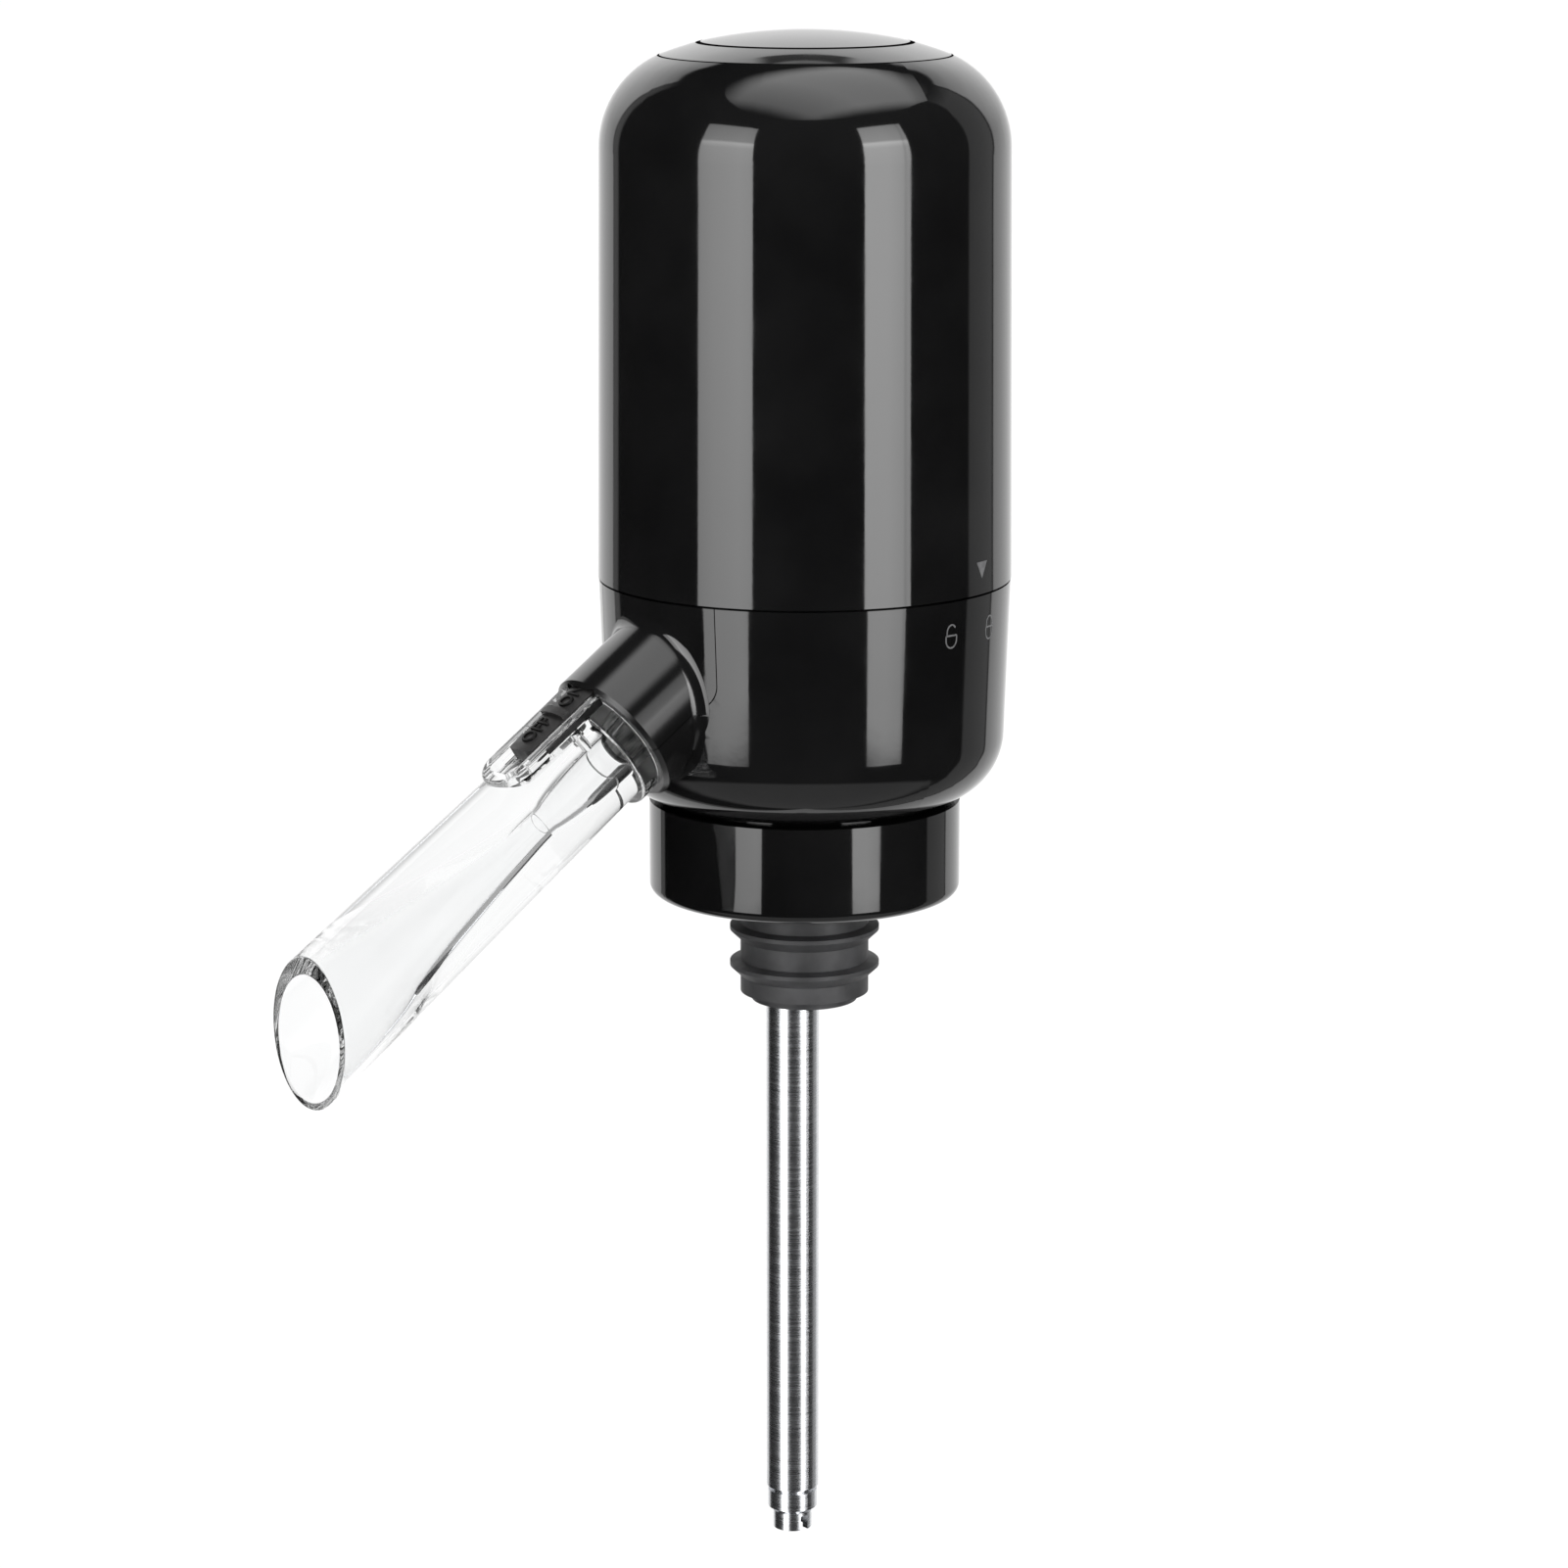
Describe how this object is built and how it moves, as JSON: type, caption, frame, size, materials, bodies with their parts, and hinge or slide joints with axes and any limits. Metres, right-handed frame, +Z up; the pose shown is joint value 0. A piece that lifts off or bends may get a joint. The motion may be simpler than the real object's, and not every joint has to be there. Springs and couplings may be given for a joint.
{
  "type": "electric wine dispenser",
  "caption": "Battery wine dispenser for a bottle's mouth: black barrel with a push button, split spout boss, clear aerating spout with an air switch, ribbed stopper and telescopic dip tube.",
  "frame": {"origin": "on the bottle's axis, in the plane of the bottle's lip, which is the underside of the stopper's flange", "axes": "+Z up along the body's axis, -Y the way the spout points, +X to the right of the spout seen from its mouth's side towards the body"},
  "size_m": [0.054, 0.1053, 0.2016],
  "materials": {
    "black_gloss": "polished injection-moulded black",
    "dark_plastic": "fine matte mould texture",
    "white_plastic": "natural matte",
    "silicone": "matte silicone",
    "clear_acrylic": "polished clear",
    "slider_grey": "satin soft-touch",
    "spring_steel": "bright nickel",
    "motor_can": "satin drawn steel",
    "lead_wire": "insulation",
    "cell_wrap": "plain shrink sleeve",
    "board_green": "solder mask",
    "tube_steel": "drawn stainless"
  },
  "bodies": {
    "base": {"lower_housing": "black_gloss", "spout_saddle": "black_gloss", "collar": "black_gloss", "collar_screws": "spring_steel", "bottle_stopper": "silicone", "stopper_stem": "dark_plastic", "air_check_valve": "silicone", "wine_riser": "white_plastic", "wine_elbow": "silicone", "outlet_adapter": "white_plastic", "elbow_seal": "silicone", "spout_seal": "silicone", "spout": "clear_acrylic", "deck_gasket": "silicone", "chassis_deck": "dark_plastic", "deck_screws": "spring_steel", "pump_head": "white_plastic", "pump_diaphragm": "silicone", "swash_plate": "white_plastic", "pump_case": "white_plastic", "motor": "motor_can", "motor_leads": "lead_wire", "battery_cradle": "dark_plastic", "battery_cells": "cell_wrap", "battery_springs": "spring_steel", "battery_plates": "spring_steel", "control_board": "board_green", "board_components": "dark_plastic", "tact_switch": "dark_plastic", "dip_tube_upper": "tube_steel"},
    "barrel": {"upper_housing": "black_gloss", "top_bezel": "black_gloss", "button_spring": "spring_steel"},
    "button": {"power_button": "black_gloss", "switch_plunger": "dark_plastic"},
    "air_switch": {"switch_slider": "slider_grey", "switch_seal": "silicone"},
    "pump_drive": {"pump_crank": "spring_steel"},
    "middle_tube": {"dip_tube_middle": "tube_steel"},
    "lower_tube": {"dip_tube_lower": "tube_steel"}
  },
  "joints": [
    {"name": "barrel_twist", "type": "hinge", "parent": "base", "child": "barrel", "pos_m": [0, 0, 0.0328], "axis": [0, 0, -1], "range_deg": [-4.6, 13.3]},
    {"name": "button_press", "type": "slide", "parent": "barrel", "child": "button", "axis": [0, 0, -1], "range_m": [0, 0.001], "stiffness_N_per_m": 800, "springref_m": -0.0015, "deforming": ["button_spring"]},
    {"name": "air_switch_slide", "type": "slide", "parent": "base", "child": "air_switch", "axis": [0, -0.8329, -0.5534], "range_m": [0, 0.0034]},
    {"name": "pump_spin", "type": "hinge", "parent": "base", "child": "pump_drive", "pos_m": [0, 0, 0.05], "axis": [0, 0, 1], "continuous": true},
    {"name": "middle_tube_slide", "type": "slide", "parent": "base", "child": "middle_tube", "axis": [0, 0, -1], "range_m": [0, 0.084]},
    {"name": "lower_tube_slide", "type": "slide", "parent": "middle_tube", "child": "lower_tube", "axis": [0, 0, -1], "range_m": [0, 0.083]}
  ]
}
